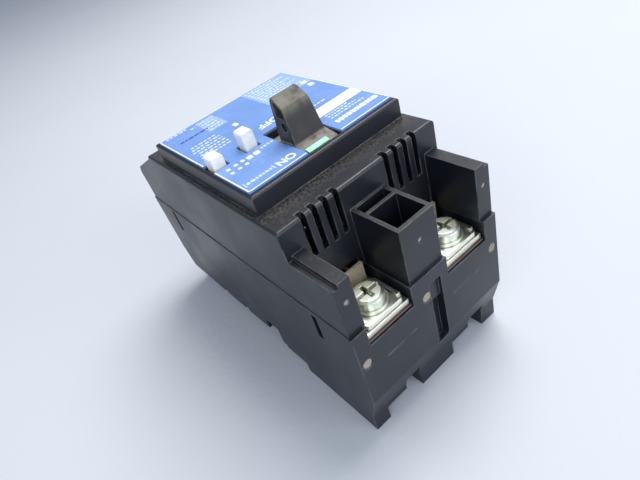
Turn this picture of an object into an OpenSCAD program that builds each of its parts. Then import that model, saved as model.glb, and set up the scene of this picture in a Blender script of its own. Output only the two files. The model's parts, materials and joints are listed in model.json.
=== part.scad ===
// Two-pole moulded-case earth-leakage circuit breaker.
// Millimetres. Z points out of the mounting face, Y runs from the line end to the load end.
// The origin is the centre of the mounting face. Depths along Y are given from the line end.

/* [Case] */
// Overall width across the two poles
body_w = 50; // [49:0.5:51]
// Overall length from the line end to the load end
body_l = 104; // [103:0.5:105]
// Height of the joint between base and cover
parting_z = 39.5; // [39.3:0.1:39.7]
// Height of the cover's shoulder
shoulder_z = 62.1; // [61.9:0.1:62.4]
// Height of the raised block under the nameplate
block_z = 67.2; // [67:0.1:67.3]
// Thickness of the moulded side walls
wall = 2.4; // [2.2:0.1:2.5]

/* [Terminals] */
// Distance of each pole's centre from the middle plane
pole_x = 13.4; // [13.3:0.1:13.5]
// Width of each terminal strip and clamp plate
pad_w = 13.4; // [13:0.1:13.6]
// Top height of the moulded terminal bench
bench_z = 33.6; // [33.4:0.1:33.8]
// Distance of each terminal screw from its end of the case
screw_y = 6.6; // [6.4:0.1:6.8]

/* [Mounting] */
// Radius of the mounting holes, clearance for M4
mount_r = 2.25; // [2.2:0.05:2.3]
// Distance of each mounting hole from its end of the case
mount_y = 6; // [5.9:0.1:6.1]
// Width of the slot across the back for a 35 mm rail
rail_w = 36.4; // [36:0.1:36.6]
// Depth of the rail slot
rail_depth = 5; // [4.8:0.1:5.1]

/* [Handle] */
// Distance of the handle's pivot from the line end
handle_y = 34.6; // [34.5:0.1:34.7]
// Height of the handle's pivot
handle_z = 44; // [43.9:0.1:44.1]
// Width of the handle's grip
handle_w = 9; // [8.8:0.1:9.2]
// Height of the handle's top
handle_top = 78.5; // [78:0.1:79]

/* [Hidden] */
$fn = 48;

eps = 0.01;
front_recess = 15.8;   // length of the line-end terminal recess
rear_recess = 20;      // length of the load-end terminal recess
block_front = 24.6;
block_rear = 75.6;
block_w = 46.2;
cover_inset = 0.8;     // how far the cover's faces stand back from the base's
cover_w = body_w - 0.4;
seam = 0.02;           // gap of the joint between base and cover
barrier_z = 55;        // top of the outer barriers at the line end
barrier_t = 4.8;
web_w = 11.2;          // width of the partition between the poles
web_z = 55.3;
floor_z = 9;
cavity_front = 17.2;
cavity_rear = 92;
cover_cavity_rear = 82.2;
rail_front = 44;
window_front = 26.2;
window_rear = 45;
window_w = 10.4;
seat_z = 30;           // where a mounting screw's head sits
pad_z = bench_z + 0.6; // underside of the terminal strips
pad_t = 1.7;
clamp_t = 1.4;
screw_r = 2.5;
vents = [7.9, 11.1, 14.3, 17.5];
vent_w = 1.5;
crossbar_at = [50, 21];
crank_at = [46.5, 24];
link_at = [47, 40.5];
toggle_at = [43.6, 31];
cradle_at = [30.5, 40];
trip_bar_at = [65, 40];
armature_at = [67.5, 33];
test_at = [-10.4, 44.2];
leak_at = [-19.9, 44.7];
solenoid_at = [14, 47.5];
coil_y = 71;
coil_l = 9;
coil_z = 24;
board_y = 68;
board_z = 47;
zct_y = 82.2;
zct_l = 7.4;
zct_z = 21.5;
latch_screws = [19, 72];
frame_in = 6;
frame_out = 7.2;
flange_r = 23.6;       // top of the flange that fills the window
skirt_r = 19.5;        // skirt that keeps the window shut when the handle swings back
spring_top = [handle_y + 0.5, handle_z + 13];

black = [0.07, 0.07, 0.08];
steel = [0.72, 0.72, 0.74];
plated = [0.83, 0.83, 0.7];
copper = [0.78, 0.45, 0.28];
fibre = [0.72, 0.66, 0.5];

// ---- helpers -----------------------------------------------------------------------------------

// Everything below is drawn with Y measured from the line end.
module from_front() translate([0, -body_l / 2, 0]) children();

// A box given by its two corners.
module block(lo, hi) translate(lo) cube(hi - lo);

// The same box on both sides of the middle plane; lo and hi hold positive X.
module twin(lo, hi) {
    block(lo, hi);
    mirror([1, 0, 0]) block(lo, hi);
}

// A rod along X, Y or Z through a point.
module rod_x(x0, x1, y, z, r) translate([x0, y, z]) rotate([0, 90, 0]) cylinder(h = x1 - x0, r = r);
module rod_y(x, y0, y1, z, r) translate([x, y0, z]) rotate([-90, 0, 0]) cylinder(h = y1 - y0, r = r);
module rod_z(x, y, z0, z1, r) translate([x, y, z0]) cylinder(h = z1 - z0, r = r);

// An outline in the YZ plane, given a thickness from x0 to x1.
module slab_x(x0, x1) translate([x0, 0, 0]) rotate([90, 0, 90]) linear_extrude(x1 - x0) children();

// An outline in the XZ plane, from y0 to y1.
module slab_y(y0, y1) translate([0, y1, 0]) rotate([90, 0, 0]) linear_extrude(y1 - y0) children();

// An outline in the XY plane, from z0 to z1.
module slab_z(z0, z1) translate([0, 0, z0]) linear_extrude(z1 - z0) children();

// A rectangle with rounded corners.
module rounded(lo, hi, r) {
    translate([lo[0] + r, lo[1]]) square([hi[0] - lo[0] - 2 * r, hi[1] - lo[1]]);
    translate([lo[0], lo[1] + r]) square([hi[0] - lo[0], hi[1] - lo[1] - 2 * r]);
    for (x = [lo[0] + r, hi[0] - r], y = [lo[1] + r, hi[1] - r]) translate([x, y]) circle(r);
}

// A rectangle whose two upper corners are rounded.
module rounded_top(lo, hi, r) {
    translate(lo) square([hi[0] - lo[0], hi[1] - lo[1] - r]);
    translate([lo[0] + r, lo[1]]) square([hi[0] - lo[0] - 2 * r, hi[1] - lo[1]]);
    for (x = [lo[0] + r, hi[0] - r]) translate([x, hi[1] - r]) circle(r);
}

// A link in the YZ plane: two bosses joined by a bar, with a hole in each.
module link_outline(a, b, r, hole_a, hole_b) {
    d = b - a;
    len = norm(d);
    difference() {
        union() {
            translate(a) circle(r);
            translate(b) circle(r);
            translate(a) rotate(atan2(d[1], d[0])) translate([0, -r * 0.8]) square([len, 1.6 * r]);
        }
        translate(a) circle(hole_a);
        translate(b) circle(hole_b);
    }
}

// A coil spring drawn as closely spaced rings along Z.
module spring_z(length, r, wire, turns) {
    pitch = (length - wire) / (turns - 1);
    for (i = [0:turns - 1]) {
        translate([0, 0, wire / 2 + i * pitch])
            rotate_extrude() translate([r - wire / 2, 0]) circle(wire / 2, $fn = 16);
    }
    for (a = [0, 180]) {
        rotate(a) translate([r - wire / 2, 0, wire / 2]) cylinder(h = length - wire, r = wire / 3, $fn = 16);
    }
}

// Whatever is drawn at the line end, drawn again at the load end.
module at_load_end() translate([0, body_l, 0]) mirror([0, 1, 0]) children();

// ---- case --------------------------------------------------------------------------------------

// Side view of the base: both ends slope in towards the mounting face.
module base_outline() {
    polygon([
        [2.8, 0], [2.8, 6], [0, 15.3], [0, parting_z],
        [body_l, parting_z], [body_l, 15.3], [body_l - 2.8, 6], [body_l - 2.8, 0]
    ]);
}

// Space above each terminal strip at one end of the base.
module base_terminal_space(recess) {
    for (s = [-1, 1]) {
        x = s * pole_x;
        block([x - pad_w / 2 - 0.6, -1, bench_z], [x + pad_w / 2 + 0.4, recess, parting_z + 1]);
    }
    rod_z(0, mount_y, seat_z, parting_z + 1, 4.3);
    rod_z(0, mount_y, -1, seat_z + 1, mount_r);
    for (s = [-1, 1]) rod_z(s * pole_x, screw_y, 23, bench_z + 1, screw_r + 0.4);
}

// Hollows moulded up into one end of the base's underside.
module base_underside() {
    block([-20, -1, -1], [-7, 30, 4.6]);
    block([-12.6, -1, -1], [-7.2, 16, 9.5]);
    block([6.2, -1, -1], [19.2, 30, 4.6]);
    block([13.3, -1, -1], [19.2, 16, 9]);
}

module base_housing() color(black) from_front() difference() {
    union() {
        difference() {
            slab_x(-body_w / 2, body_w / 2) base_outline();
            // hollow for the mechanism and the trip units
            block([-body_w / 2 + wall, cavity_front, floor_z], [body_w / 2 - wall, 84, parting_z + 1]);
            block([-body_w / 2 + wall, 83, floor_z], [body_w / 2 - wall, cavity_rear, 31]);
        }
        // web between the poles, seats for the frame and bosses for the cover screws
        block([-1, cavity_front - 1, floor_z - 1], [1, 80, 15]);
        for (y = [28, 55.5]) twin([5.2, y, floor_z - 1], [8, y + 4.5, 17.5]);
        for (y = latch_screws) rod_z(0, y, floor_z - 1, parting_z, 3.1);
        // saddles for the crossbar at both side walls
        for (s = [0, 1]) mirror([s, 0, 0]) difference() {
            block([21.2, 44.5, floor_z - 1], [22.7, 55.5, crossbar_at[1]]);
            rod_x(20, 24, crossbar_at[0], crossbar_at[1], 4.3);
        }
        // saddles for the trip bar
        for (s = [0, 1]) mirror([s, 0, 0]) difference() {
            block([20.8, 62, 30], [22.7, 68, parting_z]);
            rod_x(20, 24, trip_bar_at[0], trip_bar_at[1], 2.1);
        }
    }
    base_terminal_space(front_recess);
    at_load_end() base_terminal_space(rear_recess);
    base_underside();
    // openings for the conductors to reach the inside
    for (s = [-1, 1]) {
        x = s * pole_x;
        block([x - pad_w / 2 - 0.4, 12, bench_z], [x + pad_w / 2 + 0.4, cavity_front + 1, parting_z + 1]);
    }
    twin([6.4, 87.6, 30], [13.4, cavity_rear, bench_z + 1]);
    // grooves of the parting seam, the witness lines and the dark slot between the poles
    block([-0.6, -1, 13], [3.4, 1.1, 35.7]);
    block([-0.6, -1, 13], [3.4, 2.6, seat_z - 1.2]);
    twin([7, -1, 26], [17.2, 0.15, 26.3]);
    // shallow ejector marks
    for (x = [-22.9, 22.9]) rod_y(x, -1, 0.3, 29.2, 1.5);
    rod_y(-1.9, -1, 0.3, 32.5, 1.5);
    // rail slot across the back, with a lip left at its line side
    block([-30, rail_front, -1], [30, rail_front + rail_w, rail_depth]);
    block([-30, rail_front - 2.4, 2.6], [30, rail_front + 1, rail_depth]);
    // guide for the rail slider
    block([-8.4, rail_front + rail_w - 1, -1], [8.4, body_l + 1, rail_depth]);
    // the lower edges of both sides step in beside the rail slot
    twin([body_w / 2 - 2.2, rail_front, -1], [body_w / 2 + 1, body_l + 1, 7]);
    twin([body_w / 2 - 1, 32, -1], [body_w / 2 + 1, rail_front + 1, 3.6]);
    twin([body_w / 2 - 2.2, rail_front - 0.8, -1], [body_w / 2 + 1, rail_front + 6, 11.4]);
    for (y = [62, 76]) twin([body_w / 2 - 4, y, 4], [body_w / 2 + 1, y + 2.4, 8.4]);
    // narrow slots in both sides near the ends
    for (y = [12.8, body_l - 14.9]) twin([body_w / 2 - 1.6, y, 30], [body_w / 2 + 1, y + 2.1, 38.4]);
    // cover screws
    rod_z(0, latch_screws[0], -1, 3.2, 3.2);
    rod_z(0, latch_screws[1], -1, 8.2, 3.2);
    for (y = latch_screws) rod_z(0, y, -1, parting_z + 1, 1.55);
}

// A box whose upper edges are rounded all round.
module soft_box(lo, hi, r) intersection() {
    slab_x(lo[0], hi[0]) rounded_top([lo[1], lo[2]], [hi[1], hi[2]], r);
    slab_y(lo[1], hi[1]) rounded_top([lo[0], lo[2]], [hi[0], hi[2]], r);
}

// Barrier beside the terminals: its top has a narrower ridge.
module front_barrier() {
    x1 = cover_w / 2;
    block([x1 - barrier_t, cover_inset, parting_z + seam], [x1, front_recess + 0.5, barrier_z - 1.1]);
    block([x1 - barrier_t, cover_inset, barrier_z - 1.2], [x1 - 1.5, front_recess + 0.5, barrier_z]);
}

module rear_barrier() {
    x1 = cover_w / 2;
    r = body_l - rear_recess;
    slab_x(x1 - barrier_t, x1) polygon([
        [r - 0.5, parting_z + seam], [r - 0.5, shoulder_z - 1.1], [r, shoulder_z - 1.1],
        [body_l - 2.5, 52.8], [body_l - cover_inset, 50], [body_l - cover_inset, parting_z + seam]
    ]);
}

// Partition between two terminals with a deep well for the mounting screw.
module terminal_web(recess) {
    w = web_w / 2;
    difference() {
        block([-w, cover_inset - 0.1, parting_z + seam], [w, recess + 0.5, web_z]);
        block([-w + 1.1, 1.9, parting_z - 1], [w - 1.1, 10.9, web_z + 1]);
        block([-w + 1.1, 12, 46], [w - 1.1, recess - 0.6, web_z + 1]);
    }
}

module button_hole(at, size) {
    block([at[0] - size[0] / 2, at[1] - size[1] / 2, 60], [at[0] + size[0] / 2, at[1] + size[1] / 2, 70]);
}

module cover_housing() color(black) from_front() difference() {
    union() {
        difference() {
            union() {
                soft_box(
                    [-cover_w / 2, front_recess, parting_z + seam],
                    [cover_w / 2, body_l - rear_recess, shoulder_z], 0.8
                );
                soft_box([-block_w / 2, block_front, shoulder_z - 1], [block_w / 2, block_rear, block_z], 0.6);
                for (s = [0, 1]) mirror([s, 0, 0]) {
                    front_barrier();
                    rear_barrier();
                }
                terminal_web(front_recess);
                at_load_end() terminal_web(rear_recess);
            }
            // hollow of the cover and of the raised block
            block([-22.3, cavity_front + 0.4, 30], [22.3, cover_cavity_rear, 60.1]);
            block([-21, block_front + 2, 58], [21, block_rear - 2, block_z - 2]);
        }
        // shelf under the buttons
        block([-22.4, 41.2, 53], [-7.4, 48, 54.5]);
        // posts for the circuit board and the cover screws
        for (x = [-18, 18]) {
            rod_z(x, 69.5, board_z + 1.6, 66, 2);
            rod_z(x, 79, board_z + 1.6, 61, 2);
        }
        rod_z(0, latch_screws[0], parting_z, 61, 2.6);
        rod_z(0, latch_screws[1], parting_z, 66, 3.1);
    }
    // handle window
    block([-window_w / 2, window_front, 60], [window_w / 2, window_rear, 70]);
    // room for the handle's skirt and flange to swing
    intersection() {
        rod_x(-6.8, 6.8, handle_y, handle_z, skirt_r + 0.3);
        block([-7, 21.4, 50], [7, window_rear + 6, 70]);
    }
    intersection() {
        rod_x(-5.4, 5.4, handle_y, handle_z, flange_r + 0.3);
        block([-7, window_rear - 1, 50], [7, window_rear + 10, 70]);
    }
    button_hole(test_at, [4.5, 5]);
    button_hole(leak_at, [4.5, 5.4]);
    block([leak_at[0] - 2.4, leak_at[1] - 3.4, 58], [leak_at[0] + 2.4, leak_at[1] + 3.4, block_z - 2]);
    for (at = [test_at, leak_at]) rod_z(at[0], at[1], 52, 56, 1.3);
    // vents for the arc gases
    for (s = [-1, 1], x = vents) {
        block([s * x - vent_w / 2, front_recess - 1, 50.5], [s * x + vent_w / 2, front_recess + 2.2, 64]);
        block([s * x - vent_w / 2, front_recess - 1, 50.5], [s * x + vent_w / 2, front_recess + 3, 60]);
    }
    // hollow behind the vents, over the terminals
    for (s = [-1, 1]) {
        x = s * pole_x;
        block([x - 6.4, front_recess - 1, 30], [x + 6, cavity_front + 1, 42]);
    }
    // shallow ejector marks
    for (x = [-22.5, 0, 22.5]) rod_y(x, 0, cover_inset + 0.25, 49.1, 0.7);
    for (y = latch_screws) rod_z(0, y, parting_z - 1, 52, 1.25);
}

module nameplate() color([0.24, 0.42, 0.78]) from_front() slab_z(block_z, block_z + 0.55) difference() {
    rounded([-22.4, 26.2], [22.4, 73.8], 0.6);
    translate([-window_w / 2 - 0.1, 20]) square([window_w + 0.2, window_rear + 0.1 - 20]);
    translate(test_at - [2.35, 2.6]) square([4.7, 5.2]);
    translate([-30, leak_at[1] - 2.8]) square([30 + leak_at[0] + 2.4, 5.6]);
}

// Countersunk self-tapping screw pointing up.
module case_screw(z) {
    difference() {
        rod_z(0, 0, z, z + 2.6, 2.9);
        for (a = [0, 90]) rotate(a) block([-2, -0.4, z - 1], [2, 0.4, z + 1.4]);
    }
    rod_z(0, 0, z + 2.6, z + 42, 1.2);
    rod_z(0, 0, z + 2.6, parting_z - 1, 1.5);
}

module cover_screws() color(steel) from_front() {
    translate([0, latch_screws[0], 0]) case_screw(0.6);
    translate([0, latch_screws[1], 0]) case_screw(5.6);
}

module din_slider() color([0.12, 0.12, 0.13]) from_front() difference() {
    union() {
        block([-8, 77.6, 0.4], [8, 103.6, 4.6]);
        block([-5.5, 103.5, 0.4], [5.5, body_l, 4.6]);
    }
    // room above the hook for the rail's edge
    block([-9, 76, 2.5], [9, rail_front + rail_w, 6]);
    block([-2.6, 84, -1], [2.6, 100.6, 6]);
    block([-2.2, 101.6, -1], [2.2, 102.8, 6]);
}

module din_slider_spring() color(steel) from_front() {
    translate([0, 84.1, 2.5]) rotate([-90, 0, 0]) spring_z(8, 1.6, 0.5, 7);
    // retaining pin at the spring's fixed end
    block([-1.4, 92.1, 1], [1.4, 93, rail_depth]);
}

// ---- terminals ---------------------------------------------------------------------------------

// Strip from the line screw down to the fixed contact.
module line_conductor(s) color(plated) from_front() {
    x = s * pole_x;
    w = pad_w / 2;
    difference() {
        union() {
            block([x - w, 1, pad_z], [x + w, 17.6, pad_z + pad_t]);
            block([x - 3.5, 17.6 - eps, floor_z + 0.3], [x + 3.5, 19.3, pad_z + pad_t]);
            block([x - 3.5, 17.6, floor_z + 0.3], [x + 3.5, 32.5, floor_z + 2]);
        }
        rod_z(x, screw_y, pad_z - 1, pad_z + pad_t + 1, screw_r + 0.08);
    }
}
module line_conductor_left() line_conductor(-1);
module line_conductor_right() line_conductor(1);

// Strip from the coil, through the current transformer, up to the load screw.
module load_conductor(s) color(plated) from_front() mirror([s < 0 ? 1 : 0, 0, 0]) {
    difference() {
        union() {
            block([pole_x - pad_w / 2, 88, pad_z], [pole_x + pad_w / 2, body_l - 1, pad_z + pad_t]);
            block([7, 90, zct_z - 1.5], [12.6, 91.6, pad_z + eps]);
            block([1.8, 90, zct_z - 1.5], [12.6, 91.6, zct_z + 1.5]);
            block([1.8, 80.3, zct_z - 1.5], [4.6, 91.6, zct_z + 1.5]);
            block([1.8, 80.3, zct_z - 1.5], [8, 81.5, zct_z + 1.5]);
        }
        rod_z(pole_x, body_l - screw_y, pad_z - 1, pad_z + pad_t + 1, screw_r + 0.08);
    }
}
module load_conductor_left() load_conductor(-1);
module load_conductor_right() load_conductor(1);

// Square clamp plate with rounded corners and turned-up sides.
module clamp_at(x, y) color(plated) from_front() translate([x, y, pad_z + pad_t + 0.1]) difference() {
    union() {
        slab_z(0, clamp_t) rounded([-5.9, -5.2], [5.9, 5.6], 1.1);
        block([-5.9, -4, clamp_t - eps], [-4.9, 4.4, clamp_t + 0.5]);
        block([4.9, -4, clamp_t - eps], [5.9, 4.4, clamp_t + 0.5]);
    }
    rod_z(0, 0, -1, 4, screw_r + 0.35);
}
module line_clamp_left() clamp_at(-pole_x, screw_y);
module line_clamp_right() clamp_at(pole_x, screw_y);
module load_clamp_left() clamp_at(-pole_x, body_l - screw_y);
module load_clamp_right() clamp_at(pole_x, body_l - screw_y);

// Pan-head terminal screw with a combined slot and cross recess.
module screw_at(x, y) color(plated) from_front() translate([x, y, pad_z + pad_t + clamp_t + 0.1]) difference() {
    union() {
        cylinder(h = 0.8, r = 4.6);
        translate([0, 0, 0.8 - eps]) cylinder(h = 2.2, r = 3.9);
        translate([0, 0, 3 - 2 * eps]) cylinder(h = 0.5, r1 = 3.9, r2 = 3.2);
        translate([0, 0, -12.5]) cylinder(h = 12.6, r = screw_r);
    }
    block([-5, -0.55, 2], [5, 0.55, 5]);
    block([-0.55, -2.2, 1.4], [0.55, 2.2, 5]);
}
module line_screw_left() screw_at(-pole_x, screw_y);
module line_screw_right() screw_at(pole_x, screw_y);
module load_screw_left() screw_at(-pole_x, body_l - screw_y);
module load_screw_right() screw_at(pole_x, body_l - screw_y);

// ---- contacts and arc chambers -----------------------------------------------------------------

module fixed_contacts() color([0.85, 0.85, 0.86]) from_front() {
    twin([pole_x - 2, 28, floor_z + 2], [pole_x + 2, 32, floor_z + 3.2]);
}

module moving_contacts() color([0.85, 0.85, 0.86]) from_front()
    twin([pole_x - 1.8, 28.2, floor_z + 3.4], [pole_x + 1.8, 31.8, floor_z + 4.6]);

// Contact arm: a flat copper bar that dips from the crossbar to its tip.
module contact_arm(s) color(copper) from_front()
    slab_x(s * pole_x - 1.6, s * pole_x + 1.6) polygon([
        [27.6, floor_z + 4.6], [33, floor_z + 4.6], [41, 18], [46.2, 18.2],
        [46.2, 22.4], [40, 22], [31, floor_z + 8], [27.6, floor_z + 8]
    ]);
module contact_arm_left() contact_arm(-1);
module contact_arm_right() contact_arm(1);

module crossbar() color([0.45, 0.2, 0.12]) from_front() {
    difference() {
        union() {
            rod_x(-22, 22, crossbar_at[0], crossbar_at[1], 4);
            // crank lugs for the lower link
            for (x = [-2.6, 1.4]) slab_x(x, x + 1.2) union() {
                translate(crank_at) circle(1.8);
                polygon([
                    crossbar_at + [-3, -1], crossbar_at + [1.5, 3.4],
                    crank_at + [1.2, 1.4], crank_at + [-1.6, -0.8]
                ]);
            }
        }
        // slot for the lower link between the lugs
        block([-1.4, 40, 15], [1.4, crossbar_at[0] - 0.6, 27.5]);
        // flats where the contact arms are let in
        for (s = [-1, 1]) block([s * pole_x - 1.6, 40, 18.15], [s * pole_x + 1.6, 46.25, 22.45]);
    }
    rod_x(-2.6, 2.6, crank_at[0], crank_at[1], 0.8);
}

module contact_springs() color(steel) from_front() for (s = [-1, 1])
    translate([s * (pole_x + 4.2), 42.3, 22.6]) spring_z(6, 1.5, 0.5, 6);

// Stack of slotted steel plates that splits the arc.
module arc_grids(s) color(steel) from_front() for (i = [0:7]) {
    z = 13.5 + i * 2.7;
    translate([s * pole_x, 0, 0]) slab_z(z, z + 1) difference() {
        translate([-5.4, 19.8]) square([10.8, 6.6]);
        polygon([[-2.6, 27], [2.6, 27], [0.9, 22.4], [-0.9, 22.4]]);
    }
}
module arc_grids_left() arc_grids(-1);
module arc_grids_right() arc_grids(1);

module arc_cheeks(s) color(fibre) from_front() for (x = [s * pole_x - 6.2, s * pole_x + 5.4]) {
    block([x, 19.8, 12.8], [x + 0.8, 27, 34.6]);
}
module arc_cheeks_left() arc_cheeks(-1);
module arc_cheeks_right() arc_cheeks(1);

module arc_vent_plates() color(fibre) from_front()
    for (s = [-1, 1]) block([s * pole_x - 5.9, 14, pad_z + pad_t + 0.05], [s * pole_x + 5.8, 14.9, 41.4]);

// ---- switching mechanism -----------------------------------------------------------------------

module mech_frame() color(steel) from_front() for (x = [-frame_out, frame_in]) {
    slab_x(x, x + frame_out - frame_in) difference() {
        polygon([[27.5, 17.5], [27.5, 36], [30, 48], [38, 49], [46, 44], [61, 44], [61, 17.5]]);
        translate(crossbar_at) circle(4.08);
        translate(cradle_at) circle(1.2);
        translate([handle_y, handle_z]) circle(1.5);
        translate([crossbar_at[0] - 4.08, 10]) square([8.16, crossbar_at[1] - 10]);
    }
}

module mech_pins() color([0.6, 0.6, 0.62]) from_front() {
    rod_x(-7.6, 7.6, cradle_at[0], cradle_at[1], 1.2);
    for (s = [0, 1]) mirror([s, 0, 0]) rod_x(frame_in - 0.4, 9.4, handle_y, handle_z, 1.5);
    rod_x(-frame_in, frame_in, 58.5, 21, 1.4);
}

// A band about the handle's pivot between two radii and two angles from upright.
module arc_band(half, r0, r1, a0, a1) difference() {
    rod_x(-half, half, 0, 0, r1);
    rod_x(-half - 1, half + 1, 0, 0, r0);
    slab_x(-half - 1, half + 1) polygon([
        [0, 0], [40 * sin(a0), 40 * cos(a0)], [-40, 20], [-40, -40],
        [40, -40], [40, 10], [40 * sin(a1), 40 * cos(a1)]
    ]);
}

// Grip, the flange round its foot and the skirt below the flange, drawn about the pivot.
module handle() color(black) from_front() translate([0, handle_y, handle_z]) {
    top = handle_top - handle_z;
    half = handle_w / 2;
    lip = window_front + 0.3 - handle_y;   // front end of the flange
    difference() {
        union() {
            arc_band(4.95, flange_r - 1.4, flange_r, -30, 31);
            arc_band(6.4, skirt_r - 1.2, skirt_r, -40, 20);
            block([-4.95, lip, 17.2], [4.95, lip + 1.3, 22]);
            intersection() {
                slab_x(-half, half) polygon([
                    [-3, 15], [-2.7, 24], [-1.1, top - 3], [-0.7, top - 2.1], [2.2, top - 0.1],
                    [3.1, top], [3.7, top - 0.8], [3.5, 24], [3.4, 15]
                ]);
                // both sides taper towards the top
                slab_y(-5, 5) polygon([
                    [-half, 14], [-half, 25], [-half + 0.7, top - 0.4], [-half + 1.1, top + 1],
                    [half - 1.1, top + 1], [half - 0.7, top - 0.4], [half, 25], [half, 14]
                ]);
            }
        }
        block([-8, lip - 5, skirt_r - 1.6], [8, lip, 40]);
        // seat of the coloured strip in front of the grip
        slab_x(-4.4, 2.2) polygon([[-7.5, 22], [-5.8, 22.5], [-5.8, 26], [-7.5, 26]]);
        // slot and round hole in the grip's left side
        slab_x(-handle_w, -half + 3) polygon([
            [-0.8, 29.8], [2.4, 29.8], [2.8, top - 1.1], [1.7, top - 1.1], [-0.3, top - 2.6]
        ]);
        rod_x(-handle_w, -half + 1.9, 0.3, 27.6, 1.15);
    }
}

module handle_indicator() color([0.3, 0.85, 0.6]) from_front() translate([0, handle_y, handle_z])
    slab_x(-4.3, 2.1) polygon([[-7.4, 22.13], [-5.9, 22.57], [-5.9, 23.3], [-7.4, 22.9]]);

// Steel yoke that carries the handle and pulls the main springs.
module handle_yoke() color(steel) from_front() translate([0, handle_y, handle_z]) difference() {
    union() {
        block([-8.8, -2.6, 13.5], [8.8, 2.4, 15]);
        for (x = [-8.8, 7.6]) slab_x(x, x + 1.2) union() {
            circle(3);
            polygon([[-3, 0], [-2.6, 15], [2.4, 15], [3, 0]]);
        }
    }
    rod_x(-10, 10, 0, 0, 1.55);
}

// Springs from the yoke's bar to the toggle pin.
module main_springs() color(steel) from_front() for (x = [-4.2, 4.2]) {
    d = toggle_at - spring_top;
    translate([x, spring_top[0], spring_top[1]]) rotate([atan2(-d[0], d[1]), 0, 0])
        translate([0, 0, 2]) spring_z(norm(d) - 4.2, 1.3, 0.45, 18);
}

module upper_links() color(steel) from_front() for (x = [-2.3, 1.2])
    slab_x(x, x + 1.1) link_outline(link_at, toggle_at, 2.2, 1.05, 1.1);

module toggle_pin() color([0.6, 0.6, 0.62]) from_front() rod_x(-5.4, 5.4, toggle_at[0], toggle_at[1], 1.1);

// Its upper hole is wide: this pivot is where the closed linkage is opened.
module lower_link() color(steel) from_front()
    slab_x(-0.9, 0.9) link_outline(crank_at, toggle_at, 2.4, 0.85, 2);

module cradle() color(steel) from_front() {
    slab_x(-0.9, 0.9) difference() {
        union() {
            translate(cradle_at) circle(3);
            polygon([[30.5, 37], [47, 38.2], [58, 39.5], [58, 42.5], [47, 43], [30.5, 43]]);
        }
        translate(cradle_at) circle(1.25);
    }
    rod_x(-2.6, 2.6, link_at[0], link_at[1], 1);
}

module trip_latch() color(steel) from_front() {
    block([-2.5, 58.4, 38], [2.5, 59.6, 44]);
    block([-2.5, 59.5, 42.8], [2.5, 65, 44]);
    block([-2.5, 64, 41.98], [2.5, 66, 44]);
}

module trip_bar() color([0.45, 0.2, 0.12]) from_front() {
    rod_x(-22.3, 22.3, trip_bar_at[0], trip_bar_at[1], 2);
    // tabs pushed by the armatures
    for (x = [-pole_x, pole_x]) block([x - 2, 63.8, 34.6], [x + 2, 65.2, 39]);
    // lever pushed by the solenoid
    block([solenoid_at[0] - 2, 64.2, 40], [solenoid_at[0] + 2, 65.6, 50]);
}

// ---- trip units --------------------------------------------------------------------------------

module trip_coil(s) color(copper) from_front() translate([s * pole_x, coil_y, coil_z]) rotate([-90, 0, 0])
    difference() {
        union() for (i = [0:4]) translate([0, 0, 0.9 + i * 1.8])
            rotate_extrude() translate([5, 0]) circle(0.95, $fn = 24);
        cylinder(h = 30, r = 3.6, center = true);
    }
module trip_coil_left() trip_coil(-1);
module trip_coil_right() trip_coil(1);

module dashpots() color([0.8, 0.68, 0.4]) from_front() for (s = [-1, 1]) {
    rod_y(s * pole_x, coil_y - 1.6, coil_y + coil_l + 2.5, coil_z, 3.4);
}

// L-shaped iron that carries the coil and the armature's hinge.
module magnet_yokes() color(steel) from_front() for (s = [-1, 1]) difference() {
    x = s * pole_x;
    union() {
        block([x - 4.5, 80.6, 15.5], [x + 4.5, 82, 34]);
        block([x - 4.5, 69.3, 32.6], [x + 4.5, 82, 34]);
    }
    rod_y(x, 78, 84, coil_z, 3.4);
}

module armature(s) color(steel) from_front() {
    x = s * pole_x;
    difference() {
        union() {
            slab_x(x - 4, x + 4) polygon([
                [67, 19], [68, 19], [68, 32], [67.6, 36.6], [66.3, 36.6], [66.3, 33], [67, 31]
            ]);
            rod_x(x - 4, x + 4, armature_at[0], armature_at[1], 1.4);
        }
        rod_x(x - 6, x + 6, armature_at[0], armature_at[1], 0.75);
    }
}
module armature_left() armature(-1);
module armature_right() armature(1);

// Flexible braid from each contact arm's pivot end to its coil.
module braids() color(copper) from_front() for (s = [-1, 1])
    slab_x(s * (pole_x + 5) - 1.3, s * (pole_x + 5) + 1.3)
        polygon([
            [55.5, 16], [57, 12], [66, 10.4], [74, 12], [74, 17.4],
            [72.2, 17.4], [72.2, 13.6], [66, 12.2], [58.2, 13.8], [57, 16.4]
        ]);

// ---- earth-leakage unit ------------------------------------------------------------------------

module zct_ring() color([0.2, 0.25, 0.5]) from_front() translate([0, zct_y, zct_z]) rotate([-90, 0, 0])
    difference() {
        union() {
            cylinder(h = zct_l, r = 9.4);
            block([-7, 0, 0], [7, 11.8, zct_l]);
        }
        translate([0, 0, -1]) cylinder(h = zct_l + 2, r = 6.2);
    }

module circuit_board() color([0.1, 0.4, 0.2]) from_front() difference() {
    block([-20.5, board_y, board_z], [20.5, 82, board_z + 1.6]);
    rod_z(0, latch_screws[1], board_z - 1, board_z + 3, 3.6);
}

module board_components() color([0.15, 0.15, 0.16]) from_front() {
    z = board_z;
    block([6, 74, z - 2], [14, 80, z]);
    block([-15, 70, z - 2.2], [-8, 75, z]);
    for (x = [-12, -7, 9]) rod_z(x, 78.5, z + 1.6, z + 8.6, 2.1);
    for (i = [0:3]) rod_y(6.5 + i * 2.4, 69, 73, z + 2.5, 0.9);
    block([-14, 69, z + 1.6], [-7, 74, z + 5.2]);
}

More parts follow.
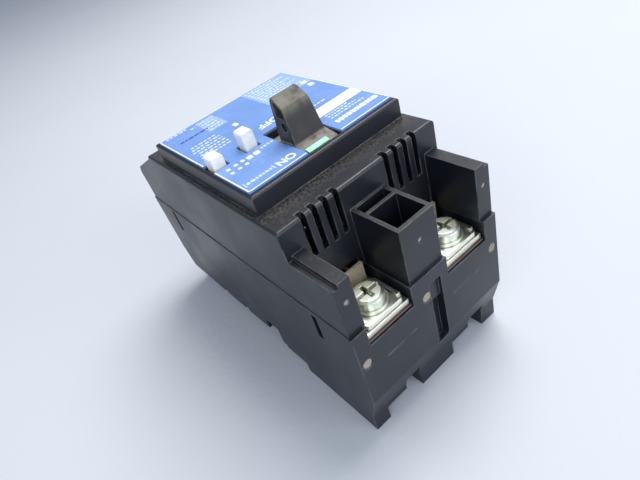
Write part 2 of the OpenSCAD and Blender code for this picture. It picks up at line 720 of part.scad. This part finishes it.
module trip_solenoid() color([0.8, 0.72, 0.3]) from_front() difference() {
    x = solenoid_at[0];
    z = solenoid_at[1];
    union() {
        block([x - 4.6, 47, z - 4.6], [x + 4.6, 48.2, z + 4.6]);
        block([x - 4.6, 58.6, z - 4.6], [x + 4.6, 59.8, z + 4.6]);
        block([x - 4.6, 47, z + 3.6], [x + 4.6, 59.8, z + 4.6]);
        rod_y(x, 48, 58.8, z, 3.5);
        // bracket to the cover
        block([x - 3, 52, z + 4.5], [x + 3, 55, 60.1]);
    }
    rod_y(x, 40, 62, z, 1.7);
}

module solenoid_plunger() color(steel) from_front() {
    rod_y(solenoid_at[0], 45.2, 61.9, solenoid_at[1], 1.62);
    rod_y(solenoid_at[0], 44.2, 45.4, solenoid_at[1], 2.6);
}

// Push button with a flange that stops under the cover.
module button_at(at, size, top, stem) from_front() translate([at[0], at[1], 0]) {
    w = size[0] / 2;
    d = size[1] / 2;
    difference() {
        slab_z(63, top) rounded([-w, -d], [w, d], 0.5);
        for (a = [0, 1]) mirror([a, 0, 0]) translate([w, 0, top])
            rotate([0, 45, 0]) cube([0.6, 3 * d, 0.6], center = true);
    }
    block([-w, -d - 0.8, 62.4], [w, d + 0.8, 64.6]);
    rod_z(0, 0, stem, 62.5, 1.1);
}
module test_button() color([0.92, 0.92, 0.9]) button_at(test_at, [3.5, 4], 72.2, 51.4);
module leak_indicator() color([0.9, 0.9, 0.87]) button_at(leak_at, [3.5, 4.4], 70.6, 51.4);

module button_spring(at) color(steel) from_front() translate([at[0], at[1], 54.6]) spring_z(7.7, 1.7, 0.4, 7);
module test_button_spring() button_spring(test_at);
module leak_indicator_spring() button_spring(leak_at);

module test_contacts() color([0.8, 0.6, 0.3]) from_front() {
    block([-12.4, 62, 46.4], [-8.4, board_y, 50]);
    block([-11.6, 42.5, 48.8], [-9.2, 62.1, 49.1]);
    block([-11.6, 44, 47.4], [-9.2, 62.1, 47.7]);
}

base_housing();
cover_housing();
nameplate();
cover_screws();
din_slider();
din_slider_spring();
line_conductor_left();
line_conductor_right();
load_conductor_left();
load_conductor_right();
line_clamp_left();
line_clamp_right();
load_clamp_left();
load_clamp_right();
line_screw_left();
line_screw_right();
load_screw_left();
load_screw_right();
fixed_contacts();
moving_contacts();
contact_arm_left();
contact_arm_right();
crossbar();
contact_springs();
arc_grids_left();
arc_grids_right();
arc_cheeks_left();
arc_cheeks_right();
arc_vent_plates();
mech_frame();
mech_pins();
handle();
handle_indicator();
handle_yoke();
main_springs();
upper_links();
lower_link();
toggle_pin();
cradle();
trip_latch();
trip_bar();
trip_coil_left();
trip_coil_right();
dashpots();
magnet_yokes();
armature_left();
armature_right();
braids();
zct_ring();
circuit_board();
board_components();
trip_solenoid();
solenoid_plunger();
test_button();
test_button_spring();
test_contacts();
leak_indicator();
leak_indicator_spring();
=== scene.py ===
"""Looks of the two-pole earth-leakage breaker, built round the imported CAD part."""

import json
import math
import random

import bmesh
import bpy
from mathutils import Matrix, Quaternion, Vector


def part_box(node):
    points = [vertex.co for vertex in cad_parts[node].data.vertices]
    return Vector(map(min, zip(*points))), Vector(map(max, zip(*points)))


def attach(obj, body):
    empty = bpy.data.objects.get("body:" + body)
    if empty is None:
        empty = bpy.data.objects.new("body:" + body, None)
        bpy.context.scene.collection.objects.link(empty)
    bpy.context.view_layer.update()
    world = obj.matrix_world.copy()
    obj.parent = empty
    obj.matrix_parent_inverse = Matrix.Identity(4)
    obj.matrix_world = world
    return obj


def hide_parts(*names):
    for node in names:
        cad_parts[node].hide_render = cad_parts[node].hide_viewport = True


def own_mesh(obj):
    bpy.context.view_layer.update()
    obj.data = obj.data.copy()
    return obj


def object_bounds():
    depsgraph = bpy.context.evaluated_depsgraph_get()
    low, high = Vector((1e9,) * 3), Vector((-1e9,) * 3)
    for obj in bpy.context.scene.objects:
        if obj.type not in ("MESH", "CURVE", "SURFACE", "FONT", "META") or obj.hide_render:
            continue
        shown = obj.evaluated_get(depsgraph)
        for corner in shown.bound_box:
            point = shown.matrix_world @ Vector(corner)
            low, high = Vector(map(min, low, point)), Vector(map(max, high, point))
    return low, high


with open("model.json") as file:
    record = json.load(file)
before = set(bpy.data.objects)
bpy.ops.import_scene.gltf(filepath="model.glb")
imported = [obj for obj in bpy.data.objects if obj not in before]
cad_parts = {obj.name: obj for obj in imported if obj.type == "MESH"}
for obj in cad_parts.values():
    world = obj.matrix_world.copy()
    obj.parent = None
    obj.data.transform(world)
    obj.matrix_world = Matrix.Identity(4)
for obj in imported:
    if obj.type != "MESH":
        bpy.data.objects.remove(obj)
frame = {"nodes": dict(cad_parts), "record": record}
cad_low, cad_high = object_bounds()
cad_nodes = frame["nodes"]

MM = 0.001
LINE_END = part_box("base_housing")[0].y
LABEL_LOW, LABEL_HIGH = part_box("nameplate")
LABEL_TOP = LABEL_HIGH.z
PRINT_RISE = 0.02 * MM
POLE_X = 13.4

# Heights and places in metres that the wear, the dust and the painted light on the handle's foot in the
# materials depend on.
LEDGE_FRONT = -0.0345
LEDGE_BACK = -0.0282
LEDGE_LOW = 0.0608
LEDGE_HIGH = 0.064
HANDLE_FOOT = 0.0672
HANDLE_NECK = 0.0682
HANDLE_CREST = 0.0735
HANDLE_TOP = 0.0768


def place(x, y, z):
    """A point in metres from millimetres, with y measured from the line end."""
    return Vector((x * MM, LINE_END + y * MM, z * MM))


# ---- shader building ---------------------------------------------------------------------------


class Shader:
    """A node material; each method adds a node and returns its output socket."""

    def __init__(self, name):
        self.material = bpy.data.materials.new(name)
        self.material.use_nodes = True
        self.nodes = self.material.node_tree.nodes
        self.links = self.material.node_tree.links
        self.nodes.clear()
        self.surface = self.nodes.new("ShaderNodeBsdfPrincipled")
        output = self.nodes.new("ShaderNodeOutputMaterial")
        self.links.new(self.surface.outputs["BSDF"], output.inputs["Surface"])
        coordinates = self.nodes.new("ShaderNodeTexCoord")
        self.where = coordinates.outputs["Object"]

    def feed(self, socket, value):
        if isinstance(value, bpy.types.NodeSocket):
            self.links.new(value, socket)
        else:
            socket.default_value = value

    def noise(self, scale, detail=3.0, stretch=None):
        node = self.nodes.new("ShaderNodeTexNoise")
        node.inputs["Scale"].default_value = scale
        node.inputs["Detail"].default_value = detail
        vector = self.where
        if stretch:
            mapping = self.nodes.new("ShaderNodeMapping")
            mapping.inputs["Scale"].default_value = stretch
            self.links.new(self.where, mapping.inputs["Vector"])
            vector = mapping.outputs["Vector"]
        self.links.new(vector, node.inputs["Vector"])
        return node.outputs["Fac"]

    def span(self, value, low, high, to_low=0.0, to_high=1.0):
        node = self.nodes.new("ShaderNodeMapRange")
        node.interpolation_type = "SMOOTHSTEP"
        self.feed(node.inputs["Value"], value)
        node.inputs["From Min"].default_value = low
        node.inputs["From Max"].default_value = high
        node.inputs["To Min"].default_value = to_low
        node.inputs["To Max"].default_value = to_high
        return node.outputs["Result"]

    def math(self, operation, first, second):
        node = self.nodes.new("ShaderNodeMath")
        node.operation = operation
        self.feed(node.inputs[0], first)
        self.feed(node.inputs[1], second)
        return node.outputs["Value"]

    def times(self, *values):
        result = values[0]
        for value in values[1:]:
            result = self.math("MULTIPLY", result, value)
        return result

    def mix(self, share, first, second):
        node = self.nodes.new("ShaderNodeMix")
        node.data_type = "RGBA"
        self.feed(node.inputs[0], share)
        self.feed(node.inputs[6], first)
        self.feed(node.inputs[7], second)
        return node.outputs[2]

    def axis(self, name):
        node = self.nodes.new("ShaderNodeSeparateXYZ")
        self.links.new(self.where, node.inputs["Vector"])
        return node.outputs[name]

    def facing_up(self):
        geometry = self.nodes.new("ShaderNodeNewGeometry")
        node = self.nodes.new("ShaderNodeSeparateXYZ")
        self.links.new(geometry.outputs["Normal"], node.inputs["Vector"])
        return node.outputs["Z"]

    def rounded(self, radius):
        node = self.nodes.new("ShaderNodeBevel")
        node.samples = 5
        node.inputs["Radius"].default_value = radius
        return node.outputs["Normal"]

    def edges(self, radius):
        """0 on flat faces, rising towards 1 along edges."""
        geometry = self.nodes.new("ShaderNodeNewGeometry")
        node = self.nodes.new("ShaderNodeVectorMath")
        node.operation = "DOT_PRODUCT"
        self.links.new(self.rounded(radius), node.inputs[0])
        self.links.new(geometry.outputs["True Normal"], node.inputs[1])
        return self.span(node.outputs["Value"], 0.99, 0.8)

    def recess_shade(self, reach):
        """0 in the open, rising towards 1 in narrow recesses and corners; the mask of painted shade."""
        node = self.nodes.new("ShaderNodeAmbientOcclusion")
        node.samples = 6
        node.inputs["Distance"].default_value = reach
        return self.span(node.outputs["AO"], 0.75, 0.3)

    def bump(self, height, distance, normal=None):
        node = self.nodes.new("ShaderNodeBump")
        node.inputs["Strength"].default_value = 1.0
        node.inputs["Distance"].default_value = distance
        self.links.new(height, node.inputs["Height"])
        if normal:
            self.links.new(normal, node.inputs["Normal"])
        return node.outputs["Normal"]

    def finish(self, colour, roughness, normal=None, metallic=0.0, coat=0.0):
        self.feed(self.surface.inputs["Base Color"], colour)
        self.feed(self.surface.inputs["Roughness"], roughness)
        self.surface.inputs["Metallic"].default_value = metallic
        self.surface.inputs["Coat Weight"].default_value = coat
        if normal:
            self.links.new(normal, self.surface.inputs["Normal"])
        return self.material


def case_plastic():
    """Black thermoset tinted blue as painted reflection; fine grain, pale edges of wear and painted
    highlight, dust facing up.
    """
    s = Shader("case_plastic")
    # The near-black tones lean blue: a painted reflection of blue surroundings on a thermoset that is itself
    # black.
    base = s.mix(s.span(s.noise(40, 3), 0.35, 0.7), (0.006, 0.0075, 0.013, 1), (0.011, 0.013, 0.021, 1))
    upward = s.span(s.facing_up(), 0.8, 0.97)
    speckle = s.span(s.noise(1100, 6), 0.42, 0.72)
    dust = s.times(upward, speckle, s.span(s.noise(120, 4), 0.35, 0.75), 0.35)
    ledge = s.times(
        upward,
        s.span(s.axis("Y"), LEDGE_FRONT, LEDGE_BACK),
        s.span(s.axis("Z"), LEDGE_LOW, LEDGE_LOW + MM),
        s.span(s.axis("Z"), LEDGE_HIGH, LEDGE_HIGH - MM),
        s.span(s.noise(1500, 4), 0.4, 0.62),
    )
    settled = s.math("MAXIMUM", dust, s.times(ledge, 0.55))
    dusty = s.mix(settled, base, (0.12, 0.108, 0.088, 1))
    # Pale edges: partly rubbed wear and partly a painted highlight along the edges, where rounded edges
    # catch light.
    pale_edges = s.times(s.edges(0.00042), s.span(s.noise(230, 5), 0.3, 0.66), 0.7)
    colour = s.mix(pale_edges, dusty, (0.26, 0.25, 0.23, 1))
    roughness = s.span(s.noise(60, 4), 0.3, 0.7, 0.34, 0.44)
    grain = s.bump(s.noise(2400, 2), 0.000015, s.rounded(0.0003))
    return s.finish(colour, roughness, grain)


def handle_plastic():
    """Darker grey moulding, worn pale at its top and along its edges, with a beige foot painted lighter as
    painted light.
    """
    s = Shader("handle_plastic")
    base = s.mix(s.noise(300, 6, (1, 1, 0.25)), (0.016, 0.016, 0.018, 1), (0.05, 0.048, 0.044, 1))
    height = s.axis("Z")
    rubbed = s.times(s.span(height, HANDLE_CREST, HANDLE_TOP), s.span(s.noise(420, 5), 0.25, 0.65), 0.8)
    topped = s.mix(rubbed, base, (0.17, 0.16, 0.115, 1))
    # The foot is beige, and is painted lighter still as painted light, so that it looks lit where the flange
    # shades it.
    foot_beige_and_lit = s.times(s.span(height, HANDLE_NECK, HANDLE_FOOT), s.span(s.noise(500, 5), 0.2, 0.6), 0.85)
    with_beige_lit_foot = s.mix(foot_beige_and_lit, topped, (0.24, 0.225, 0.185, 1))
    pale_edges = s.times(s.edges(0.0004), s.span(s.noise(350, 4), 0.3, 0.55), 0.75)
    colour = s.mix(pale_edges, with_beige_lit_foot, (0.3, 0.285, 0.24, 1))
    grain = s.bump(s.noise(2200, 3), 0.00006, s.rounded(0.0003))
    return s.finish(colour, s.span(s.noise(200, 3), 0.3, 0.7, 0.5, 0.7), grain)


def label_film():
    """Blue printed plate with a slight gloss and a little uneven ink."""
    s = Shader("label_film")
    ink = s.mix(s.span(s.noise(160, 4), 0.3, 0.75), (0.14, 0.27, 0.6, 1), (0.17, 0.31, 0.66, 1))
    scuffs = s.times(s.span(s.noise(700, 6), 0.62, 0.75), 0.35)
    colour = s.mix(scuffs, ink, (0.35, 0.45, 0.8, 1))
    waves = s.bump(s.noise(220, 2), 0.00003, s.rounded(0.00015))
    return s.finish(colour, s.span(s.noise(90, 3), 0.3, 0.7, 0.26, 0.38), waves, coat=0.2)


def print_ink(name, dark, light):
    s = Shader(name)
    colour = s.mix(s.span(s.noise(1400, 4), 0.35, 0.65), dark, light)
    return s.finish(colour, 0.42)


def moulded(name, dark, light, roughness, scale=300, edge=(0.5, 0.5, 0.48, 1), wear=0.3):
    """A coloured moulding with slight mottling, fine grain and softened, rubbed edges."""
    s = Shader(name)
    base = s.mix(s.span(s.noise(scale, 5), 0.3, 0.7), dark, light)
    colour = s.mix(s.times(s.edges(0.0003), wear), base, edge)
    grain = s.bump(s.noise(1800, 3), 0.00004, s.rounded(0.0002))
    return s.finish(colour, s.span(s.noise(150, 3), 0.3, 0.7, roughness - 0.06, roughness + 0.08), grain)


def button_plastic():
    """White moulding, greyer on its sides than on its top."""
    s = Shader("button_plastic")
    base = s.mix(s.span(s.noise(500, 4), 0.3, 0.7), (0.87, 0.87, 0.83, 1), (0.92, 0.92, 0.9, 1))
    # Faces that turn away from straight up are mixed towards a darker grey.
    side_grey = s.times(s.span(s.facing_up(), 0.6, 0.1), s.span(s.noise(600, 5), 0.3, 0.62), 0.35)
    colour = s.mix(side_grey, base, (0.55, 0.53, 0.43, 1))
    return s.finish(colour, 0.36, s.bump(s.noise(900, 2), 0.00002, s.rounded(0.0003)), coat=0.15)


def metal(name, light, stain, roughness, scale=220, streaks=0.000008):
    """A metal with stained patches, fine scratches, painted shade in its recesses and slightly softened
    edges.
    """
    s = Shader(name)
    patches = s.times(s.span(s.noise(scale, 4), 0.5, 0.78), 0.6)
    stained = s.mix(patches, light, stain)
    # Painted shade: the colour darkens towards near-black where ambient occlusion finds recesses and
    # corners, such as a screw's cross recess.
    colour = s.mix(s.times(s.recess_shade(0.0012), 0.85), stained, (0.05, 0.047, 0.035, 1))
    lines = s.noise(1500, 4, (1, 5, 1))
    rough = s.span(s.noise(scale * 0.7, 4), 0.3, 0.7, roughness - 0.05, roughness + 0.06)
    return s.finish(colour, rough, s.bump(lines, streaks, s.rounded(0.00018)), metallic=1.0)


def woven_braid():
    s = Shader("copper_braid")
    wave = s.nodes.new("ShaderNodeTexWave")
    wave.bands_direction = "DIAGONAL"
    wave.inputs["Scale"].default_value = 900
    wave.inputs["Distortion"].default_value = 1.0
    s.links.new(s.where, wave.inputs["Vector"])
    colour = s.mix(wave.outputs["Fac"], (0.35, 0.14, 0.07, 1), (0.8, 0.42, 0.24, 1))
    return s.finish(colour, 0.4, s.bump(wave.outputs["Fac"], 0.0001), metallic=1.0)


def fibre_board():
    s = Shader("fibre_board")
    colour = s.mix(s.noise(900, 6, (1, 1, 4)), (0.36, 0.3, 0.19, 1), (0.62, 0.55, 0.4, 1))
    return s.finish(colour, 0.75, s.bump(s.noise(2000, 4, (1, 1, 5)), 0.00006))


MATERIALS = {
    "case_black": case_plastic(),
    "handle_black": handle_plastic(),
    "label_blue": label_film(),
    "button_white": button_plastic(),
    "spring_steel": metal("spring_wire", (0.6, 0.6, 0.62, 1), (0.42, 0.41, 0.4, 1), 0.3),
    "zinc_steel": metal("zinc_plate", (0.74, 0.75, 0.77, 1), (0.6, 0.6, 0.56, 1), 0.34),
    "soft_iron": metal("soft_iron", (0.46, 0.46, 0.48, 1), (0.33, 0.31, 0.29, 1), 0.42),
    "plated_strip": metal("strip_plating", (0.93, 0.92, 0.8, 1), (0.74, 0.7, 0.48, 1), 0.32),
    "plated_clamp": metal("clamp_plating", (0.93, 0.94, 0.82, 1), (0.72, 0.74, 0.5, 1), 0.33),
    "plated_screw": metal("screw_plating", (0.92, 0.95, 0.83, 1), (0.66, 0.72, 0.5, 1), 0.34),
    "silver_contact": metal("contact_silver", (0.88, 0.87, 0.85, 1), (0.5, 0.48, 0.45, 1), 0.36),
    "copper": metal("bare_copper", (0.82, 0.44, 0.27, 1), (0.5, 0.24, 0.14, 1), 0.32),
    "brass": metal("drawn_brass", (0.83, 0.64, 0.32, 1), (0.58, 0.42, 0.2, 1), 0.3),
    "phenolic_brown": moulded("phenolic", (0.12, 0.05, 0.03, 1), (0.2, 0.085, 0.05, 1), 0.42),
    "fibre": fibre_board(),
    "indicator_green": moulded(
        "pale_green", (0.2, 0.6, 0.38, 1), (0.32, 0.72, 0.5, 1), 0.4, 500, (0.6, 0.85, 0.72, 1), 0.5
    ),
    "zct_blue": moulded("toroid_case", (0.05, 0.07, 0.2, 1), (0.08, 0.11, 0.28, 1), 0.45),
    "board_green": moulded("solder_mask", (0.015, 0.12, 0.04, 1), (0.03, 0.2, 0.07, 1), 0.3),
    "component_black": moulded("component_body", (0.015, 0.015, 0.017, 1), (0.04, 0.04, 0.045, 1), 0.5),
    "solenoid_tape": moulded("taped_winding", (0.45, 0.33, 0.07, 1), (0.62, 0.48, 0.14, 1), 0.38),
}

for part in frame["record"]["subparts"]:
    mesh = cad_nodes[part["node"]].data
    mesh.materials.clear()
    mesh.materials.append(MATERIALS[part["material_slot"]])

braid_mesh = cad_nodes["braids"].data
braid_mesh.materials[0] = woven_braid()


# ---- small pieces ------------------------------------------------------------------------------


def piece(name, mesh, material, body):
    """Makes an object of a mesh, gives it a material and lets it ride on a body."""
    made = bpy.data.objects.new(name, mesh)
    bpy.context.scene.collection.objects.link(made)
    mesh.materials.clear()
    mesh.materials.append(material)
    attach(made, body)
    return made


def mesh_from(name, shape):
    mesh = bpy.data.meshes.new(name)
    shape.to_mesh(mesh)
    shape.free()
    return mesh


def add_patch(shape, low, high, top, thick, corner):
    """A flat patch with rounded corners, lying in XY with its top at a height."""
    steps = 4
    ring = []
    centres = (
        (high.x - corner, high.y - corner),
        (low.x + corner, high.y - corner),
        (low.x + corner, low.y + corner),
        (high.x - corner, low.y + corner),
    )
    for quarter, (cx, cy) in enumerate(centres):
        for step in range(steps + 1):
            angle = (quarter + step / steps) * math.pi / 2
            ring.append((cx + corner * math.cos(angle), cy + corner * math.sin(angle)))
    upper = [shape.verts.new((x, y, top)) for x, y in ring]
    lower = [shape.verts.new((x, y, top - thick)) for x, y in ring]
    shape.faces.new(upper)
    shape.faces.new(list(reversed(lower)))
    for i in range(len(ring)):
        j = (i + 1) % len(ring)
        shape.faces.new((lower[i], lower[j], upper[j], upper[i]))


def printed(shape, x0, x1, y0, y1, layer=1):
    """One printed patch on the nameplate, in millimetres from the line end."""
    low = place(min(x0, x1), min(y0, y1), 0)
    high = place(max(x0, x1), max(y0, y1), 0)
    corner = min(0.3 * min(high.x - low.x, high.y - low.y), 0.4 * MM)
    top = LABEL_TOP + layer * PRINT_RISE
    add_patch(shape, low, high, top, layer * PRINT_RISE + 0.01 * MM, corner)


def dashes(shape, x0, x1, y, height, seed, word=1.1, gap=0.35):
    """A line of small print stood for by dashes of uneven length."""
    chance = random.Random(seed)
    x = x0
    while x < x1 - 0.2:
        length = min(word * chance.uniform(0.5, 1.3), x1 - x)
        printed(shape, x, x + length, y - height / 2, y + height / 2, 2)
        x += length + gap


def lettering(name, words, centre, height, width, material):
    """Raised print read from the load end: letters run towards -X with their tops to the line end."""
    curve = bpy.data.curves.new(name, "FONT")
    curve.body = words
    curve.align_x = "CENTER"
    curve.align_y = "CENTER"
    curve.size = height * 1.4
    curve.offset = height * 0.045
    curve.extrude = PRINT_RISE
    text = bpy.data.objects.new(name, curve)
    bpy.context.scene.collection.objects.link(text)
    bpy.context.view_layer.update()
    mesh = bpy.data.meshes.new_from_object(text)
    natural = text.dimensions.x
    bpy.data.objects.remove(text)
    turn = Matrix.Rotation(math.pi, 4, "Z")
    stretch = Matrix.Diagonal((width / natural, 1, 1, 1))
    spot = place(*centre, 0)
    spot.z = LABEL_TOP + PRINT_RISE
    mesh.transform(Matrix.Translation(spot) @ turn @ stretch)
    piece(name, mesh, material, "case")


white = print_ink("white_print", (0.66, 0.7, 0.84, 1), (0.84, 0.86, 0.92, 1))
pale = print_ink("pale_print", (0.24, 0.37, 0.7, 1), (0.32, 0.45, 0.76, 1))
faint = print_ink("faint_print", (0.5, 0.58, 0.84, 1), (0.66, 0.72, 0.9, 1))
navy = print_ink("dark_print", (0.03, 0.06, 0.22, 1), (0.06, 0.1, 0.32, 1))

lettering("print_on", "ON", (-9.6, 29.2), 2.4 * MM, 5.2 * MM, white)
lettering("print_off", "OFF", (-0.3, 49.2), 2.6 * MM, 6.8 * MM, white)

# The print's layout is in millimetres. EDGE is how far the border line stands in from the plate's edge.
LABEL_X = LABEL_HIGH.x / MM
LABEL_FRONT = (LABEL_LOW.y - LINE_END) / MM
LABEL_REAR = (LABEL_HIGH.y - LINE_END) / MM
WINDOW = 5.4
EDGE = 0.1
LINE_WIDTH = 0.32
NOTCH_FRONT = 41.7
NOTCH_REAR = 47.7

# White border line, broken at the window and the indicator's notch.
bold = bmesh.new()
for side in (-1, 1):
    inner, outer = side * (WINDOW + EDGE), side * (LABEL_X - 2 * EDGE)
    printed(bold, inner, outer, LABEL_FRONT + EDGE, LABEL_FRONT + EDGE + LINE_WIDTH)
border_in = LABEL_X - EDGE - LINE_WIDTH
border_out = LABEL_X - EDGE
printed(bold, border_in, border_out, LABEL_FRONT + 2 * EDGE, LABEL_REAR - 2 * EDGE)
printed(bold, -border_out, -border_in, LABEL_FRONT + 2 * EDGE, NOTCH_FRONT)
printed(bold, -border_out, -border_in, NOTCH_REAR, LABEL_REAR - 2 * EDGE)
printed(bold, 2 * EDGE - LABEL_X, LABEL_X - 2 * EDGE, LABEL_REAR - EDGE - LINE_WIDTH, LABEL_REAR - EDGE)

# The blank bar and the heavier symbols.
printed(bold, 6.9, 22, 36.4, 41)
dashes(bold, 7.4, 21.6, 30.4, 1.7, 3, 1.3, 0.18)
for spot_y in (55.4, 58.7):
    printed(bold, 18.8, 20.6, spot_y - 1, spot_y + 1, 3)
for spot_x in (-19.6, -17.4, -15.4):
    printed(bold, spot_x - 0.5, spot_x + 0.5, 38.9, 40)
    printed(bold, spot_x - 0.7, spot_x + 0.3, 36.6, 37.6)
for spot_x in (-13.5, -11.3):
    printed(bold, spot_x - 0.8, spot_x + 0.8, 38.2, 39.9)
printed(bold, -6, -4.6, 57.4, 59.6)
piece("print_bold", mesh_from("print_bold", bold), white, "case")

# Paler panel at the rear and the small print, kept as plain dashes.
panel = bmesh.new()
printed(panel, 6, 22, 57.4, 73)
printed(panel, -11.2, -5.2, 62.6, 72.4)
piece("print_panels", mesh_from("print_panels", panel), pale, "case")
small = bmesh.new()
for row in range(9):
    dashes(small, 6.8, 17.4 + 3 * (row % 2), 59 + 1.6 * row, 0.7, 20 + row)
for row in range(3):
    dashes(small, 8, 19.5 - 2 * row, 33 + 1.25 * row, 0.6, 40 + row, 0.9)
dashes(small, 7, 15, 43.4, 0.7, 50)
for row in range(6):
    dashes(small, -20.3 + 0.5 * (row % 3), -11, 51.6 + 1.6 * row, 0.7, 60 + row)
for row in range(5):
    dashes(small, -10.6, -5.8, 63.6 + 1.8 * row, 0.7, 70 + row, 0.9)
dashes(small, -20.6, -14, 72.5, 0.8, 80)
dashes(small, -13.4, -11.8, 70.6, 0.8, 81)
dashes(small, -9.5, -5.8, 39.8, 0.8, 82, 0.8)
dashes(small, -20.8, -13.6, 29.4, 0.9, 83, 1.0, 0.25)
for spot_x in (-21.3, -13.1):
    printed(small, spot_x - 0.15, spot_x + 0.15, 28.4, 30.4, 2)
piece("print_small", mesh_from("print_small", small), faint, "case")
dark = bmesh.new()
dashes(dark, -19.2, -10.2, 65.8, 0.8, 90, 1.6, 0.3)
piece("print_dark", mesh_from("print_dark", dark), navy, "case")


def add_disc(shape, centre, radius, rise):
    """A shallow domed disc facing the line end, at its centre."""
    rings = ((1.0, 0.0), (0.92, 0.7), (0.55, 0.95))
    count = 28
    loops = []
    for share, lift in rings:
        loop = []
        for i in range(count):
            angle = i * math.tau / count
            offset = Vector((math.cos(angle), 0, math.sin(angle))) * radius * share
            loop.append(shape.verts.new(centre + offset - Vector((0, rise * lift, 0))))
        loops.append(loop)
    for outer, inner in zip(loops, loops[1:]):
        for i in range(count):
            j = (i + 1) % count
            shape.faces.new((outer[i], outer[j], inner[j], inner[i]))
    shape.faces.new(loops[-1])
    shape.faces.new(list(reversed(loops[0])))


# Bare spots where the moulding's ejector pins rubbed through at the line end.
pinkish = moulded("ejector_spot", (0.2, 0.17, 0.15, 1), (0.36, 0.31, 0.27, 1), 0.6, 900)
spots = bmesh.new()
for x, z in ((-22.9, 29.2), (22.9, 29.2), (-1.9, 32.5)):
    add_disc(spots, place(x, 0.29, z), 1.4 * MM, 0.14 * MM)
for x in (-22.5, 0, 22.5):
    add_disc(spots, place(x, 1.04, 49.1), 0.66 * MM, 0.12 * MM)
piece("ejector_spots", mesh_from("ejector_spots", spots), pinkish, "case")

# Brown insulating strips under the terminal strips.
insulator = moulded("insulating_film", (0.05, 0.028, 0.016, 1), (0.09, 0.05, 0.03, 1), 0.5)
STRIP_HALF_WIDTH = 7.1
STRIP_TOP = 34.15 * MM
STRIP_THICK = 0.3 * MM
STRIP_CORNER = 0.4 * MM
strips = bmesh.new()
for side in (-1, 1):
    for y0, y1 in ((0.5, 15), (89, 103.5)):
        low = place(side * POLE_X - STRIP_HALF_WIDTH, y0, 0)
        high = place(side * POLE_X + STRIP_HALF_WIDTH, y1, 0)
        add_patch(strips, low, high, STRIP_TOP, STRIP_THICK, STRIP_CORNER)
piece("insulating_strips", mesh_from("insulating_strips", strips), insulator, "case")


# ---- copied springs ----------------------------------------------------------------------------


def shortening_spring(node):
    """A copy of a CAD spring that rides on the case in place of the hidden original."""
    source = cad_nodes[node]
    mesh = source.data.copy()
    mesh.transform(source.matrix_world)
    made = piece(node + "_coil", mesh, MATERIALS["spring_steel"], "case")
    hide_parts(node)
    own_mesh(made)


# A button's spring stands on the cover's shelf, and the slider's spring pushes against its pin.
bpy.context.view_layer.update()
shortening_spring("test_button_spring")
shortening_spring("leak_indicator_spring")
shortening_spring("din_slider_spring")


# ---- stage, light and camera -------------------------------------------------------------------

floor_shader = Shader("studio_floor")
floor_tone = floor_shader.mix(floor_shader.noise(6, 4), (0.52, 0.55, 0.6, 1), (0.57, 0.6, 0.64, 1))
floor_material = floor_shader.finish(floor_tone, 0.85, floor_shader.bump(floor_shader.noise(400, 4), 0.0001))
ground = bmesh.new()
bmesh.ops.create_grid(ground, x_segments=4, y_segments=4, size=3.0)
floor_mesh = mesh_from("studio_floor", ground)
floor_mesh.materials.append(floor_material)
floor = bpy.data.objects.new("studio_floor", floor_mesh)
bpy.context.scene.collection.objects.link(floor)
floor.location.z = cad_low.z - 0.00005


def softbox(name, position, size, power, tint):
    """A square area light aimed at the middle of the breaker."""
    data = bpy.data.lights.new(name, "AREA")
    data.size = size
    data.energy = power
    data.color = tint
    lamp = bpy.data.objects.new(name, data)
    bpy.context.scene.collection.objects.link(lamp)
    lamp.location = position
    aim = (cad_low + cad_high) / 2 - Vector(position)
    lamp.rotation_euler = aim.to_track_quat("-Z", "Y").to_euler()


softbox("key", (0.35, 0.1, 0.75), 0.5, 7, (1.0, 0.98, 0.95))
softbox("fill", (-0.6, -0.5, 0.5), 0.8, 3.5, (0.9, 0.95, 1.0))
softbox("front", (0.25, -0.8, 0.35), 0.6, 3.5, (0.95, 0.97, 1.0))

world = bpy.data.worlds.new("studio")
world.use_nodes = True
background = world.node_tree.nodes["Background"]
background.inputs["Color"].default_value = (0.72, 0.8, 0.95, 1)
background.inputs["Strength"].default_value = 0.5
bpy.context.scene.world = world
bpy.context.scene.view_settings.view_transform = "Standard"

EYE = Vector((-57.5, -115.6, 124.1)) * MM
TARGET = Vector((-1.25, -9.44, 30)) * MM
ROLL = math.radians(-19.66)
camera = bpy.data.objects.new("camera", bpy.data.cameras.new("camera"))
bpy.context.scene.collection.objects.link(camera)
camera.data.lens = 28.8
camera.data.clip_start = 0.01
camera.location = EYE
camera.rotation_mode = "QUATERNION"
look = (TARGET - EYE).to_track_quat("-Z", "Y")
camera.rotation_quaternion = look @ Quaternion((0, 0, 1), ROLL)
bpy.context.scene.camera = camera
